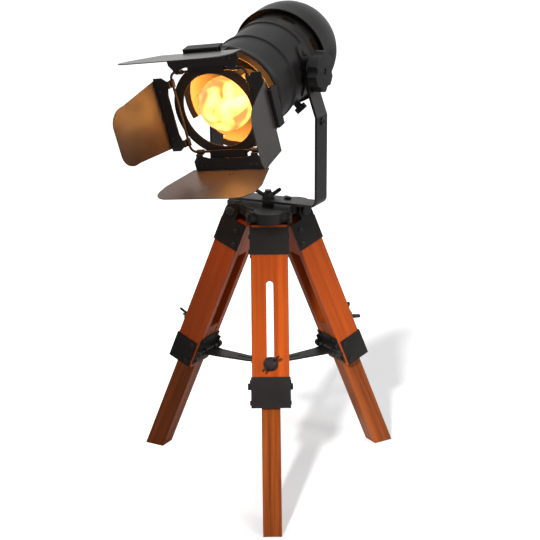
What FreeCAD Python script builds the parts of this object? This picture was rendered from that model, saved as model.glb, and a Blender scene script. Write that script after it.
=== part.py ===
import FreeCAD, Part
import math
import os

# Tabletop searchlight lamp on a three-legged stand.  Millimetres.
# Z points up from the standing plane, the front leg points along -Y.

V = FreeCAD.Vector

# ---------------------------------------------------------------- stand
LEG_LEAN = 23.1          # lean of each leg from the vertical, degrees
HUB_REACH = 39.524       # radius of the hinge bolts around the stand's axis
LEG_WIDTH = 45.0
LEG_DEPTH = 33.8
LEG_BOARD = 7.5          # outer board left in front of the groove
LEG_LOW = 155.0          # lower end of the upper leg, along the leg
LEG_TOP = 374.5
GROOVE_WIDTH = 23.0
GROOVE_TOP = 328.0
SLOT_WIDTH = 8.6
SLOT_LOW = 202.5
SLOT_TOP = 307.0
LOWER_WIDTH = 22.4
LOWER_DEPTH = 25.4
LOWER_TOP = 215.4
SLIDE_GAP = 0.3          # sliding clearance of the lower leg in its groove
SHEET = 1.2              # sheet of the end caps
CAP_TOP = (338.5, 371.5)
CAP_SIDE_TOP = 376.0
CAP_LOW = (154.5, 191.7)
CAP_LOW_DEPTH = 31.0
CAP_TOP_DEPTH = 35.0
HINGE_S = 384.0          # hinge bolt, along the leg
HINGE_D = 8.5            # hinge bolt, depth behind the outer face
HINGE_R = 3.0
EAR_R = 9.0
RUN = 0.08               # radial clearance of a running fit
WING_S = 207.0
WING_R = 8.7
STEM_R = 3.0
PIN_S = 181.0            # spreader pin, along the leg
PIN_D = 39.5             # spreader pin, depth behind the outer face
PIN_R = 2.5
EYE_R = 3.9              # eye of a spreader arm around its pin
SCREW_R = 1.4
SCREW_HEAD_R = 3.1
# ---------------------------------------------------------------- hub
HUB_LOW = 345.5
HUB_TOP = 358.0
HUB_R = 31.0
LUG_HALF = 18.0
BOSS_R = 8.5
BOSS_HALF = 22.2
STUD_R = 4.0
STUD_TOP = 376.0
BASE_Z = 363.0           # underside of the yoke base
# ---------------------------------------------------------------- spreader
ARM_Z = 148.0
ARM_T = 2.0
ARM_TIP = 22.0
ARM_SLOT = 24.0
FIN_REACH = 26.0
FIN_T = 2.6
# ---------------------------------------------------------------- yoke
YOKE_T = 3.0
YOKE_W = 30.0
YOKE_HALF = 71.0
YOKE_TOP_HALF = 59.0
YOKE_BEND_LOW = 473.0
YOKE_BEND_HIGH = 508.0
YOKE_SCREW_Z = 467.0
PAN = 27.0               # the head looks this far to the left of the front leg
TILT = 14.0              # and this far down
PIVOT_Z = 526.5
PIVOT_R = 4.0
KNOB_R = 24.5
KNOB_T = 15.0
KNOB_NECK = 2.6          # neck between a knob's lobes and the yoke
# ---------------------------------------------------------------- head
CAN_R = 54.0
WALL = 1.2
BEAD_R = 55.6
BEAD_A = (37.5, -9.0)
CAN_BACK = -16.0
HOOD_A = 97.0            # front face of the hood
HOOD_START = 72.0        # where the hood begins to flare
HOOD_R = 63.0
FACE_R = 60.8            # outer edge of the flat face
GAP_TURNS = (-152.0, -110.0)  # open sector of the hood, degrees from +X
GAP_HOOD = 84.0
GAP_CAN = 90.0
HOOD_RIVET_A = 83.0
HOOD_RIVETS = (-173.0, -91.0, -1.0, 89.0)
DOME_A = -38.5
DOME_GAP = 6.3           # from the rear housing out to the back cover
DOME_START = -48.0       # where the straight skirt turns into the bowl
DOME_DEPTH = 65.0
DOME_POWER = 2.5
FRAME_A = 132.0          # plane of the wire frame, forward of the pivot
FRAME_HALF = 49.0
WIRE_R = 1.5
WIRE_CORNER = 8.0
RING_IN = 44.0
RING_OUT = 56.0
ROLL = 7.3               # turn of the wire frame and its clips about the axis
CLIP_R = 74.5
CLIP_HALF = 22.5
LEAF_T = 1.2
LEAF_F = 4.4             # back face of a leaf, forward of its wire
LEAF_W = 21.0
LEAF_HALF = 45.0
KNUCKLE = (32.0, 40.5)   # the two knuckles of a leaf, from its middle
BLADE_L = 79.0
WIDE_TAPER = 34.0        # straight end of the top and bottom blades
NARROW_TAPER = 24.0      # the same for the side blades
BULB_R = 31.5
BULB_A = 110.0           # centre of the bulb's ball

os.makedirs("parts", exist_ok=True)
total = []


def box(x0, x1, y0, y1, z0, z1):
    return Part.makeBox(x1 - x0, y1 - y0, z1 - z0, V(x0, y0, z0))


def rod(x, y, z, d, r, h):
    """A cylinder from a point along a direction."""
    return Part.makeCylinder(r, h, V(x, y, z), V(*d))


def sheet(points, d, start, h):
    """A polygon of 2-D points, extruded along x, y or z from start by h."""
    at = {
        "x": lambda a, b: V(start, a, b),
        "y": lambda a, b: V(a, start, b),
        "z": lambda a, b: V(a, b, start),
    }[d]
    to = {"x": V(h, 0, 0), "y": V(0, h, 0), "z": V(0, 0, h)}[d]
    wire = Part.makePolygon([at(a, b) for a, b in points] + [at(*points[0])])
    return Part.Face(wire).extrude(to)


def turned(points):
    """A solid of revolution about the head's axis from (forward, radius)."""
    ring = [V(0, -a, r) for a, r in points]
    wire = Part.makePolygon(ring + [ring[0]])
    return Part.Face(wire).revolve(V(0, 0, 0), V(0, 1, 0), 360)


def fuse(shapes):
    out = shapes[0]
    for s in shapes[1:]:
        out = out.fuse(s)
    return out.removeSplitter()


def cut(shape, tools):
    for t in tools:
        shape = shape.cut(t)
    return shape


def save(name, shape):
    shape.exportStep("parts/" + name + ".step")
    total.append(name)


def placed(shape, *steps):
    """Apply placements, the last one first."""
    out = shape.copy()
    where = FreeCAD.Placement()
    for s in steps:
        where = where.multiply(s)
    out.Placement = where.multiply(out.Placement)
    return out


def move(x, y, z):
    return FreeCAD.Placement(V(x, y, z), FreeCAD.Rotation())


def spin(axis, angle):
    return FreeCAD.Placement(V(0, 0, 0), FreeCAD.Rotation(V(*axis), angle))


SIN = math.sin(math.radians(LEG_LEAN))
COS = math.cos(math.radians(LEG_LEAN))
# Radius of the outer face of a leg at the floor.
FOOT_RADIUS = HUB_REACH + HINGE_S * SIN + HINGE_D * COS


# Leg coordinates: x across the leg, y depth behind its outer face, z along it.
def on_leg(shape, k):
    return placed(
        shape,
        spin((0, 0, 1), 120 * k),
        move(0, -FOOT_RADIUS, 0),
        spin((1, 0, 0), -LEG_LEAN),
    )


# Radial coordinates: x across the leg, y minus the radius, z up.
def round_hub(shape, k):
    return placed(shape, spin((0, 0, 1), 120 * k))


def on_yoke(shape):
    return placed(shape, spin((0, 0, 1), -PAN))


# Head coordinates: x right, y back along the axis, z up, from the pivot.
def on_head(shape):
    return placed(
        shape, spin((0, 0, 1), -PAN), move(0, 0, PIVOT_Z), spin((1, 0, 0), TILT)
    )


def on_frame(shape):
    """Frame coordinates: x and z across the wire frame, y back from it."""
    return placed(
        shape,
        spin((0, 0, 1), -PAN),
        move(0, 0, PIVOT_Z),
        spin((1, 0, 0), TILT),
        spin((0, 1, 0), -ROLL),
        move(0, -FRAME_A, 0),
    )


def radial(s, d):
    """Radius and height of a point on a leg, by length and depth."""
    return FOOT_RADIUS - s * SIN - d * COS, s * COS - d * SIN


HINGE_RHO, HINGE_Z = radial(HINGE_S, HINGE_D)
PIN_RHO, PIN_Z = radial(PIN_S, PIN_D)
LEGS = ("front", "right", "left")

# ================================================================ legs
HALF = LEG_WIDTH / 2
upper = box(-HALF, HALF, 0, LEG_DEPTH, LEG_LOW, LEG_TOP)
edges = [
    e
    for e in upper.Edges
    if abs(e.Vertexes[0].Z - e.Vertexes[-1].Z) > 50
]
upper = upper.makeFillet(1.2, edges)
GH = GROOVE_WIDTH / 2
upper = upper.cut(box(-GH, GH, LEG_BOARD, LEG_DEPTH + 5, LEG_LOW - 5, GROOVE_TOP))
SR = SLOT_WIDTH / 2
slot = fuse(
    [
        box(-SR, SR, -2, LEG_BOARD + 1, SLOT_LOW + SR, SLOT_TOP - SR),
        rod(0, -2, SLOT_LOW + SR, (0, 1, 0), SR, LEG_BOARD + 3),
        rod(0, -2, SLOT_TOP - SR, (0, 1, 0), SR, LEG_BOARD + 3),
    ]
)
upper = upper.cut(slot)

TOP_SCREWS = ((24.5, 363.5), (28.5, 345.5))
LOW_SCREWS = ((25.5, 186.0), (25.5, 161.0))
side_screws = []
side_holes = []
for d, s in TOP_SCREWS + LOW_SCREWS:
    for side in (-1, 1):
        x = side * (HALF + SHEET)
        side_holes.append(rod(x + side, d, s, (-side, 0, 0), SCREW_R, 10.0))
        shank = rod(x, d, s, (-side, 0, 0), SCREW_R, 8.5)
        head = rod(x, d, s, (side, 0, 0), SCREW_HEAD_R, 1.6)
        rim = [e for e in head.Edges if abs(abs(e.CenterOfMass.x) - abs(x) - 1.6) < 0.1]
        head = head.makeFillet(1.1, [e for e in rim if e.Curve.TypeId == "Part::GeomCircle"])
        side_screws.append(fuse([shank, head]))
upper = cut(upper, side_holes)

HX = HALF + SHEET
ear_foot = sheet(
    [
        (HINGE_D - EAR_R, 370.0),
        (HINGE_D + EAR_R, 370.0),
        (HINGE_D + EAR_R, HINGE_S),
        (HINGE_D - EAR_R, HINGE_S),
    ],
    "x",
    -HX,
    2 * HX,
)
cap_shell = fuse(
    [
        box(-HX, HX, -SHEET, CAP_TOP_DEPTH, CAP_TOP[0], CAP_TOP[1]),
        box(-HX, HX, 0, CAP_TOP_DEPTH, CAP_TOP[1] - 1, CAP_SIDE_TOP),
        ear_foot,
        rod(-HX, HINGE_D, HINGE_S, (1, 0, 0), EAR_R, 2 * HX),
    ]
)
ABOVE = HINGE_S + 2 * EAR_R
cap_shell = cap_shell.cut(box(-HALF, HALF, 0, 2 * CAP_TOP_DEPTH, CAP_TOP[0] - 5, ABOVE))
cap_shell = cap_shell.cut(box(-HALF, HALF, -EAR_R, 2 * CAP_TOP_DEPTH, CAP_TOP[1], ABOVE))
cap_shell = cap_shell.cut(
    rod(-40, HINGE_D, HINGE_S, (1, 0, 0), HINGE_R + RUN, 80)
)
upper_cap = cut(cap_shell, side_holes).removeSplitter()

low_shell = box(-HX, HX, -SHEET, CAP_LOW_DEPTH, CAP_LOW[0], CAP_LOW[1])
low_shell = low_shell.cut(box(-HALF, HALF, 0, 2 * CAP_LOW_DEPTH, CAP_LOW[0] - 5, CAP_LOW[1] + 5))
lower_cap = cut(low_shell, side_holes)

# Keeper bracket across the groove, with ears for the spreader pin.
KY = LEG_DEPTH
keeper = box(-HALF, HALF, KY, KY + 1.5, 160.0, 199.0)
ears = []
for side in (-1, 1):
    x0 = side * HALF if side < 0 else HALF - 1.5
    ears.append(box(x0, x0 + 1.5, KY, PIN_D, PIN_S - 7, PIN_S + 12))
    ears.append(rod(x0, PIN_D, PIN_S, (1, 0, 0), 5.0, 1.5))
keeper = fuse([keeper] + ears)
keeper = keeper.cut(rod(-40, PIN_D, PIN_S, (1, 0, 0), PIN_R, 80))
keeper_holes = []
keeper_screws = []
for x in (-17.0, 17.0):
    for s in (164.5, 194.5):
        keeper_holes.append(rod(x, KY + 3, s, (0, -1, 0), SCREW_R, 13.0))
        shank = rod(x, KY + 1.5, s, (0, -1, 0), SCREW_R, 11.0)
        head = rod(x, KY + 1.5, s, (0, 1, 0), SCREW_HEAD_R, 1.6)
        rim = [e for e in head.Edges if abs(e.CenterOfMass.y - KY - 3.1) < 0.1]
        head = head.makeFillet(1.0, rim)
        keeper_screws.append(fuse([shank, head]))
keeper = cut(keeper, keeper_holes)
upper = cut(upper, keeper_holes)
leg_screws = Part.makeCompound(side_screws + keeper_screws)

pin = rod(-HALF - 5.2, PIN_D, PIN_S, (1, 0, 0), PIN_R, LEG_WIDTH + 10.4)
heads = []
for side in (-1, 1):
    head = rod(side * HALF, PIN_D, PIN_S, (side, 0, 0), 4.2, 5.2)
    rim = [e for e in head.Edges if abs(abs(e.CenterOfMass.x) - HALF - 5.2) < 0.1]
    heads.append(head.makeFillet(1.5, rim))
pin = fuse([pin] + heads)

# Lower leg, sawn level at the floor.
LH = LOWER_WIDTH / 2
LY = LEG_BOARD + SLIDE_GAP
lower = box(-LH, LH, LY, LY + LOWER_DEPTH, -40, LOWER_TOP)
lower = lower.cut(rod(0, LY - 1, WING_S, (0, 1, 0), STEM_R + RUN, 19.5))
floor = box(-60, 60, -320, 0, -90, 0)
lower_front = on_leg(lower, 0).cut(floor)

# Wing bolt: domed boss with two raised wings, its stem in the lower leg.
boss = Part.makeSphere(8.0, V(0, 0, 0), V(0, 0, 1), -90, 90, 360)
boss = placed(boss, move(0, -1.6, 0)).common(box(-9, 9, -12, -1.5, -9, 9))
flange = rod(0, -1.7, 0, (0, 1, 0), WING_R, 1.6)
wing_bits = [boss, flange, rod(0, -0.5, 0, (0, 1, 0), STEM_R, 0.5 + LY + 17)]
for side in (-1, 1):
    wing_bits.append(
        sheet(
            [
                (-4.0, side * 5.0),
                (-8.5, side * 9.5),
                (-15.5, side * 12.8),
                (-17.0, side * 11.4),
                (-16.2, side * 9.2),
                (-10.5, side * 6.4),
                (-8.0, side * 3.0),
                (-4.0, side * 2.0),
            ],
            "x",
            -1.3,
            2.6,
        )
    )
wing_bolt = placed(fuse(wing_bits), spin((0, 1, 0), 48))

# ================================================================ spreader
# The arm lies level; its forked inner end straddles a fin of the centre link.
rho_out = PIN_RHO - 4.0
plan = [
    (-6.0, -ARM_TIP),
    (6.0, -ARM_TIP),
    (8.0, -ARM_TIP - 6),
    (12.0, -ARM_TIP - 52),
    (12.0, -rho_out - 7.5),
    (-12.0, -rho_out - 7.5),
    (-12.0, -ARM_TIP - 52),
    (-8.0, -ARM_TIP - 6),
]
flat = sheet(plan, "z", ARM_Z - ARM_T / 2, ARM_T)
flat = flat.cut(box(-1.6, 1.6, -ARM_TIP - ARM_SLOT, 0, ARM_Z - 9, ARM_Z + 9))
arm_bits = [flat]
for side in (-1, 1):
    x0 = -12.0 if side < 0 else 12.0 - 1.6
    arm_bits.append(
        sheet(
            [
                (-PIN_RHO - EYE_R, ARM_Z - ARM_T / 2),
                (-PIN_RHO + 14.0, ARM_Z - ARM_T / 2),
                (-PIN_RHO + 14.0, ARM_Z + ARM_T / 2),
                (-PIN_RHO + EYE_R, PIN_Z),
                (-PIN_RHO - EYE_R, PIN_Z),
            ],
            "x",
            x0,
            1.6,
        )
    )
    arm_bits.append(rod(x0, -PIN_RHO, PIN_Z, (1, 0, 0), EYE_R, 1.6))
arm = fuse(arm_bits)
# The strap stops short of the keeper bracket.
arm = arm.cut(box(-20, 20, -PIN_RHO - 30, -PIN_RHO - EYE_R, 100, 200))
arm = arm.cut(rod(-20, -PIN_RHO, PIN_Z, (1, 0, 0), PIN_R + RUN, 40))

fins = [rod(0, 0, ARM_Z - 5.5, (0, 0, 1), 4.5, 11.0)]
for k in range(3):
    fin = box(-FIN_T / 2, FIN_T / 2, -FIN_REACH, 0, ARM_Z - 5.5, ARM_Z + 5.5)
    fins.append(round_hub(fin, k))
centre_link = fuse(fins)

# ================================================================ hub
lugs = [rod(0, 0, HUB_LOW, (0, 0, 1), HUB_R, HUB_TOP - HUB_LOW)]
for k in range(3):
    lug = fuse(
        [
            box(-LUG_HALF, LUG_HALF, -HINGE_RHO + 1, 0, HUB_LOW, HUB_TOP),
            rod(0, -HINGE_RHO + 1, HUB_LOW, (0, 0, 1), LUG_HALF, HUB_TOP - HUB_LOW),
            rod(-BOSS_HALF, -HINGE_RHO, HINGE_Z, (1, 0, 0), BOSS_R, 2 * BOSS_HALF),
        ]
    )
    lugs.append(round_hub(lug, k))
hub = fuse(lugs)
for k in range(3):
    hub = hub.cut(
        round_hub(rod(-40, -HINGE_RHO, HINGE_Z, (1, 0, 0), HINGE_R, 80), k)
    )
spacer = rod(0, 0, HUB_TOP - 1.0, (0, 0, 1), 7.5, BASE_Z - HUB_TOP + 0.95)
hub = fuse([hub, spacer])
hub = hub.cut(rod(0, 0, HUB_LOW - 5, (0, 0, 1), STUD_R, 2 * (BASE_Z - HUB_LOW)))

bolts = []
for k in range(3):
    bolt = rod(-HX - 0.15, -HINGE_RHO, HINGE_Z, (1, 0, 0), HINGE_R, 2 * HX + 0.3)
    bits = [bolt]
    for side in (-1, 1):
        head = rod(side * (HX + 0.12), -HINGE_RHO, HINGE_Z, (side, 0, 0), 6.2, 4.0)
        far = HX + 4.12
        rim = [e for e in head.Edges if abs(abs(e.CenterOfMass.x) - far) < 0.1]
        bits.append(head.makeFillet(2.4, rim))
    bolts.append(round_hub(fuse(bits), k))
hinge_bolts = Part.makeCompound(bolts)

stud = fuse(
    [
        rod(0, 0, HUB_LOW - 5.5, (0, 0, 1), 7.0, 5.5),
        rod(0, 0, HUB_LOW - 1, (0, 0, 1), STUD_R, STUD_TOP - HUB_LOW + 1),
    ]
)

# ================================================================ yoke
def strap(points, t):
    """Offset a run of 2-D points to both sides and close it as a polygon."""
    sides = []
    for sign in (1, -1):
        off = []
        n = len(points)
        for i in range(n):
            dirs = []
            if i > 0:
                dirs.append((points[i][0] - points[i - 1][0], points[i][1] - points[i - 1][1]))
            if i < n - 1:
                dirs.append((points[i + 1][0] - points[i][0], points[i + 1][1] - points[i][1]))
            units = [(a / math.hypot(a, b), b / math.hypot(a, b)) for a, b in dirs]
            nx = sum(-b for a, b in units) / len(units)
            nz = sum(a for a, b in units) / len(units)
            size = math.hypot(nx, nz)
            nx, nz = nx / size, nz / size
            cos_half = nx * -units[0][1] + nz * units[0][0]
            k = sign * t / 2 / cos_half
            off.append((points[i][0] + nx * k, points[i][1] + nz * k))
        sides.append(off)
    return sides[0] + sides[1][::-1]


YB = BASE_Z + YOKE_T / 2
TIP = YOKE_W / 2
run = [
    (-YOKE_TOP_HALF, PIVOT_Z + TIP),
    (-YOKE_TOP_HALF, YOKE_BEND_HIGH),
    (-YOKE_HALF, YOKE_BEND_LOW),
    (-YOKE_HALF, YB),
    (YOKE_HALF, YB),
    (YOKE_HALF, YOKE_BEND_LOW),
    (YOKE_TOP_HALF, YOKE_BEND_HIGH),
    (YOKE_TOP_HALF, PIVOT_Z + TIP),
]
yoke = sheet(strap(run, YOKE_T), "y", -TIP, YOKE_W)
low = [
    e
    for e in yoke.Edges
    if abs(e.BoundBox.YLength - YOKE_W) < 0.01 and e.BoundBox.ZMax < BASE_Z + 4
]
outer = [e for e in low if e.BoundBox.ZMax < BASE_Z + 1]
inner = [e for e in low if e.BoundBox.ZMax > BASE_Z + 1]
yoke = yoke.makeFillet(9.0, outer)
inner = [
    e
    for e in yoke.Edges
    if abs(e.BoundBox.YLength - YOKE_W) < 0.01
    and abs(e.BoundBox.ZMax - BASE_Z - YOKE_T) < 0.05
    and abs(abs(e.BoundBox.XMax) - YOKE_HALF + YOKE_T / 2) < 0.05
]
yoke = yoke.makeFillet(6.0, inner)
WIDE = YOKE_HALF + 2 * YOKE_T
crown = fuse(
    [
        box(-WIDE, WIDE, -TIP, TIP, BASE_Z - 5, PIVOT_Z),
        rod(-WIDE, 0, PIVOT_Z, (1, 0, 0), TIP, 2 * WIDE),
    ]
)
yoke = yoke.common(crown)
yoke = yoke.cut(rod(-WIDE, 0, PIVOT_Z, (1, 0, 0), PIVOT_R + RUN, 2 * WIDE))
yoke = yoke.cut(rod(0, 0, BASE_Z - 5, (0, 0, 1), STUD_R + RUN, 20))

YOKE_SCREWS = []
OUT = YOKE_HALF + YOKE_T / 2
for side in (-1, 1):
    hole = rod(side * (OUT + 1), 0, YOKE_SCREW_Z, (-side, 0, 0), 2.0, YOKE_T + 2)
    yoke = yoke.cut(hole)
    shank = rod(side * OUT, 0, YOKE_SCREW_Z, (-side, 0, 0), 2.0, YOKE_T + 1.5)
    head = rod(side * OUT, 0, YOKE_SCREW_Z, (side, 0, 0), 5.0, 2.6)
    rim = [e for e in head.Edges if abs(abs(e.CenterOfMass.x) - OUT - 2.6) < 0.1]
    YOKE_SCREWS.append(fuse([shank, head.makeFillet(1.8, rim)]))
yoke = yoke.cut(rod(24, 6, BASE_Z - 5, (0, 0, 1), 2.0, 20))
shank = rod(24, 6, BASE_Z - 1.0, (0, 0, 1), 2.0, YOKE_T + 1.0)
head = rod(24, 6, BASE_Z + YOKE_T, (0, 0, 1), 4.6, 2.8)
rim = [e for e in head.Edges if abs(e.CenterOfMass.z - BASE_Z - YOKE_T - 2.8) < 0.1]
YOKE_SCREWS.append(fuse([shank, head.makeFillet(2.0, rim)]))
yoke_screws = Part.makeCompound(YOKE_SCREWS)

# Wing nut that clamps the yoke on its stud.
NZ = BASE_Z + YOKE_T + 0.05
nut = fuse(
    [
        rod(0, 0, NZ, (0, 0, 1), 8.0, 1.4),
        Part.makeCone(6.6, 5.4, 6.0, V(0, 0, NZ + 1.3)),
    ]
)
wings = []
for side in (-1, 1):
    wings.append(
        sheet(
            [
                (side * 4.0, NZ + 1.4),
                (side * 10.0, NZ + 3.2),
                (side * 16.0, NZ + 7.4),
                (side * 16.0, NZ + 10.2),
                (side * 13.5, NZ + 11.0),
                (side * 9.0, NZ + 9.0),
                (side * 4.0, NZ + 6.6),
            ],
            "y",
            -1.3,
            2.6,
        )
    )
nut = fuse([nut] + wings)
nut = nut.cut(rod(0, 0, NZ - 5, (0, 0, 1), STUD_R + RUN, 30))

# ================================================================ head shell
AL = CAN_R - WALL


def bead(a):
    return [(a + 3.2, CAN_R), (a + 1.4, BEAD_R), (a - 1.4, BEAD_R), (a - 3.2, CAN_R)]


CAN_FRONT = HOOD_A - WALL - 0.02
can_pts = [(CAN_FRONT, AL), (CAN_FRONT, CAN_R)]
for a in BEAD_A:
    can_pts += bead(a)
can_pts += [(CAN_BACK, CAN_R), (CAN_BACK, AL)]
can = turned(can_pts)

# Front hood: a sleeve on the can that flares to a rolled rim and a flat face.
SEAT = CAN_R + 0.02
SKIN = CAN_R + 1.0
flare = []
for i in range(9):
    u = i / 8.0
    a = HOOD_START + (HOOD_A - 3.0 - HOOD_START) * u
    flare.append((a, SKIN + (HOOD_R - SKIN) * u ** 2.4))
outer_pts = flare + [(HOOD_A - 1.2, HOOD_R - 0.6), (HOOD_A, FACE_R), (HOOD_A, AL)]
inner_pts = [(HOOD_A - WALL, AL), (HOOD_A - WALL, HOOD_R - 3.0)]
for a, r in flare[::-1]:
    if r - 1.4 > SEAT + 0.1:
        inner_pts.append((a - 0.4, r - 1.4))
inner_pts += [(inner_pts[-1][0] - 2.5, SEAT), (HOOD_START, SEAT)]
hood = turned(outer_pts + inner_pts)


def sector(start, a):
    """A wedge forward of a, between the two edges of the hood's gap."""
    half = math.radians(GAP_TURNS[1] - GAP_TURNS[0]) / 2
    corners = [(0.0, 0.0)]
    for i, turn in enumerate((GAP_TURNS[0], sum(GAP_TURNS) / 2, GAP_TURNS[1])):
        far = 80.0 / math.cos(half) if i == 1 else 80.0
        t = math.radians(turn)
        corners.append((far * math.cos(t), far * math.sin(t)))
    return sheet(corners, "y", -a, a - start)


hood = hood.cut(sector(GAP_HOOD, 120.0))
can = can.cut(sector(GAP_CAN, 120.0))
for turn in HOOD_RIVETS:
    shank = rod(AL - 0.5, -HOOD_RIVET_A, 0, (1, 0, 0), 1.3, 2.2)
    snap = rod(AL - 0.06, -HOOD_RIVET_A, 0, (-1, 0, 0), 2.4, 1.1)
    tail = [e for e in snap.Edges if abs(e.CenterOfMass.x - AL + 1.16) < 0.05]
    rivet = fuse([shank, snap.makeFillet(0.8, tail)])
    hood = hood.fuse(placed(rivet, spin((0, 1, 0), -turn)))
    can = can.cut(placed(rod(40, -HOOD_RIVET_A, 0, (1, 0, 0), 1.3, 16), spin((0, 1, 0), -turn)))
hood = hood.removeSplitter()

# Rear housing: stepped back shell with oblong vents.
REAR_R = CAN_R + 1.0
DOME_R = REAR_R + DOME_GAP
rear = turned(
    [
        (CAN_BACK - 0.02, AL - 1.5),
        (CAN_BACK - 0.02, CAN_R),
        (CAN_BACK - 4, REAR_R),
        (DOME_A + 2.0, REAR_R),
        (DOME_A - 2.0, REAR_R + 1.0),
        (DOME_A - 8.0, REAR_R + 1.0),
        (DOME_A - 8.0, REAR_R - 0.4),
        (DOME_A - 2.0, REAR_R - 0.4),
        (DOME_A + 2.0, REAR_R - WALL),
        (CAN_BACK - 4, REAR_R - WALL),
        (CAN_BACK - 2, AL - 1.5),
    ]
)
vents = []
for i in range(8):
    a = math.radians(22.5 + 45.0 * i)
    hole = fuse(
        [
            rod(-6.0, -(CAN_BACK - 11.5), 40, (0, 0, 1), 3.4, 20),
            rod(6.0, -(CAN_BACK - 11.5), 40, (0, 0, 1), 3.4, 20),
            box(-6.0, 6.0, -(CAN_BACK - 11.5) - 3.4, -(CAN_BACK - 11.5) + 3.4, 40, 60),
        ]
    )
    vents.append(placed(hole, spin((0, 1, 0), 22.5 + 45.0 * i)))
rear = cut(rear, vents)

# Domed back cover, held off the housing by four stand-offs.
dome_out = []
dome_in = []
N = 12
for i in range(N + 1):
    u = math.sin(math.pi / 2 * i / N)
    k = max(1.0 - u ** DOME_POWER, 0.0) ** (1.0 / DOME_POWER)
    dome_out.append((DOME_START - DOME_DEPTH * u, DOME_R * k))
    dome_in.append((DOME_START - (DOME_DEPTH - WALL) * u, (DOME_R - WALL) * k))
dome_in.insert(0, (DOME_A + 2.6, DOME_R - WALL))
lip = [(DOME_A + 3.2, DOME_R - 0.2), (DOME_A + 2.6, DOME_R + 0.5), (DOME_A + 0.6, DOME_R + 0.5), (DOME_A - 0.6, DOME_R)]
dome_pts = lip + dome_out + dome_in[::-1]
clean = [dome_pts[0]]
for p in dome_pts[1:]:
    if math.hypot(p[0] - clean[-1][0], p[1] - clean[-1][1]) > 0.05:
        clean.append(p)
back_cover = turned(clean)

standoffs = []
for i in range(4):
    a = 45.0 + 90.0 * i
    post = rod(0, -(DOME_A - 5.0), REAR_R + 1.0, (0, 0, 1), 2.4, DOME_R - WALL - REAR_R - 1.35)
    standoffs.append(placed(post, spin((0, 1, 0), a)))
standoffs = Part.makeCompound(standoffs)

# Saddle plates with round ends, bent to the can, and the pivot studs.
PX = YOKE_TOP_HALF - YOKE_T / 2 - 0.3
SADDLE_T = 2.0
SADDLE_W = 12.0
SADDLE_Z = 21.0
KX = YOKE_TOP_HALF + YOKE_T / 2 + 0.1
STUD_END = KX + 12.0
plates = []
studs = []
can_core = rod(0, 60, 0, (0, -1, 0), CAN_R, 120)
shell = rod(0, 60, 0, (0, -1, 0), CAN_R + SADDLE_T, 120)
bead_core = turned(
    [
        (BEAD_A[1] + 3.3, 40),
        (BEAD_A[1] + 3.3, CAN_R),
        (BEAD_A[1] + 1.5, BEAD_R + 0.05),
        (BEAD_A[1] - 1.5, BEAD_R + 0.05),
        (BEAD_A[1] - 3.3, CAN_R),
        (BEAD_A[1] - 3.3, 40),
    ]
)
plate_screws = []
for side in (-1, 1):
    x0 = side * 30.0
    plate = fuse(
        [
            box(min(x0, side * 70), max(x0, side * 70), -SADDLE_W, SADDLE_W, -SADDLE_Z, SADDLE_Z),
            rod(x0, 0, SADDLE_Z, (side, 0, 0), SADDLE_W, 40),
            rod(x0, 0, -SADDLE_Z, (side, 0, 0), SADDLE_W, 40),
        ]
    )
    plate = plate.common(shell)
    plate = fuse([plate, rod(side * 46, 0, 0, (side, 0, 0), 10.0, PX - 46)])
    plate = plate.cut(can_core).cut(bead_core)
    plate = plate.cut(rod(side * 40, 0, 0, (side, 0, 0), PIVOT_R, 30))
    for turn in (-23.0, 23.0):
        hole = rod(side * 40, 0, 0, (side, 0, 0), 1.8, 40)
        plate = plate.cut(placed(hole, spin((0, 1, 0), turn)))
        can = can.cut(placed(hole, spin((0, 1, 0), turn)))
        top = CAN_R + SADDLE_T + 0.02
        shank = rod(side * top, 0, 0, (-side, 0, 0), 1.8, 6.0)
        head = rod(side * top, 0, 0, (side, 0, 0), 3.6, 1.7)
        rim = [e for e in head.Edges if abs(abs(e.CenterOfMass.x) - top - 1.7) < 0.1]
        screw = fuse([shank, head.makeFillet(1.2, rim)])
        plate_screws.append(placed(screw, spin((0, 1, 0), turn)))
    plates.append(plate)
    studs.append(
        fuse(
            [
                rod(side * (AL - 3.0), 0, 0, (side, 0, 0), 7.0, 2.6),
                rod(side * (AL - 1.0), 0, 0, (side, 0, 0), PIVOT_R, STUD_END - AL + 1.0),
            ]
        )
    )
    can = can.cut(rod(side * 40, 0, 0, (side, 0, 0), PIVOT_R, 30))
pivot_plates = Part.makeCompound(plates)
pivot_studs = Part.makeCompound(studs)

# Clamp knob: a lobed disc with grip flutes.
knob = rod(KX + KNOB_NECK, 0, 0, (1, 0, 0), KNOB_R, KNOB_T - KNOB_NECK)
for i in range(6):
    a = math.radians(60.0 * i + 30.0)
    knob = knob.cut(
        rod(KX - 1, (KNOB_R + 4.6) * math.cos(a), (KNOB_R + 4.6) * math.sin(a), (1, 0, 0), 8.2, KNOB_T + 4)
    )
rims = [e for e in knob.Edges if abs(e.BoundBox.XMin - KX - KNOB_T) < 0.01 and abs(e.BoundBox.XMax - KX - KNOB_T) < 0.01]
knob = knob.makeFillet(2.0, rims)
knob = fuse([knob, rod(KX, 0, 0, (1, 0, 0), 11.0, KNOB_NECK + 1.0)])
knob = knob.cut(rod(KX - 5, 0, 0, (1, 0, 0), PIVOT_R + RUN, 5 + 12.5))
knob = knob.cut(rod(KX + KNOB_T - 1.2, 0, 0, (1, 0, 0), 4.0, 5))

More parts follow.
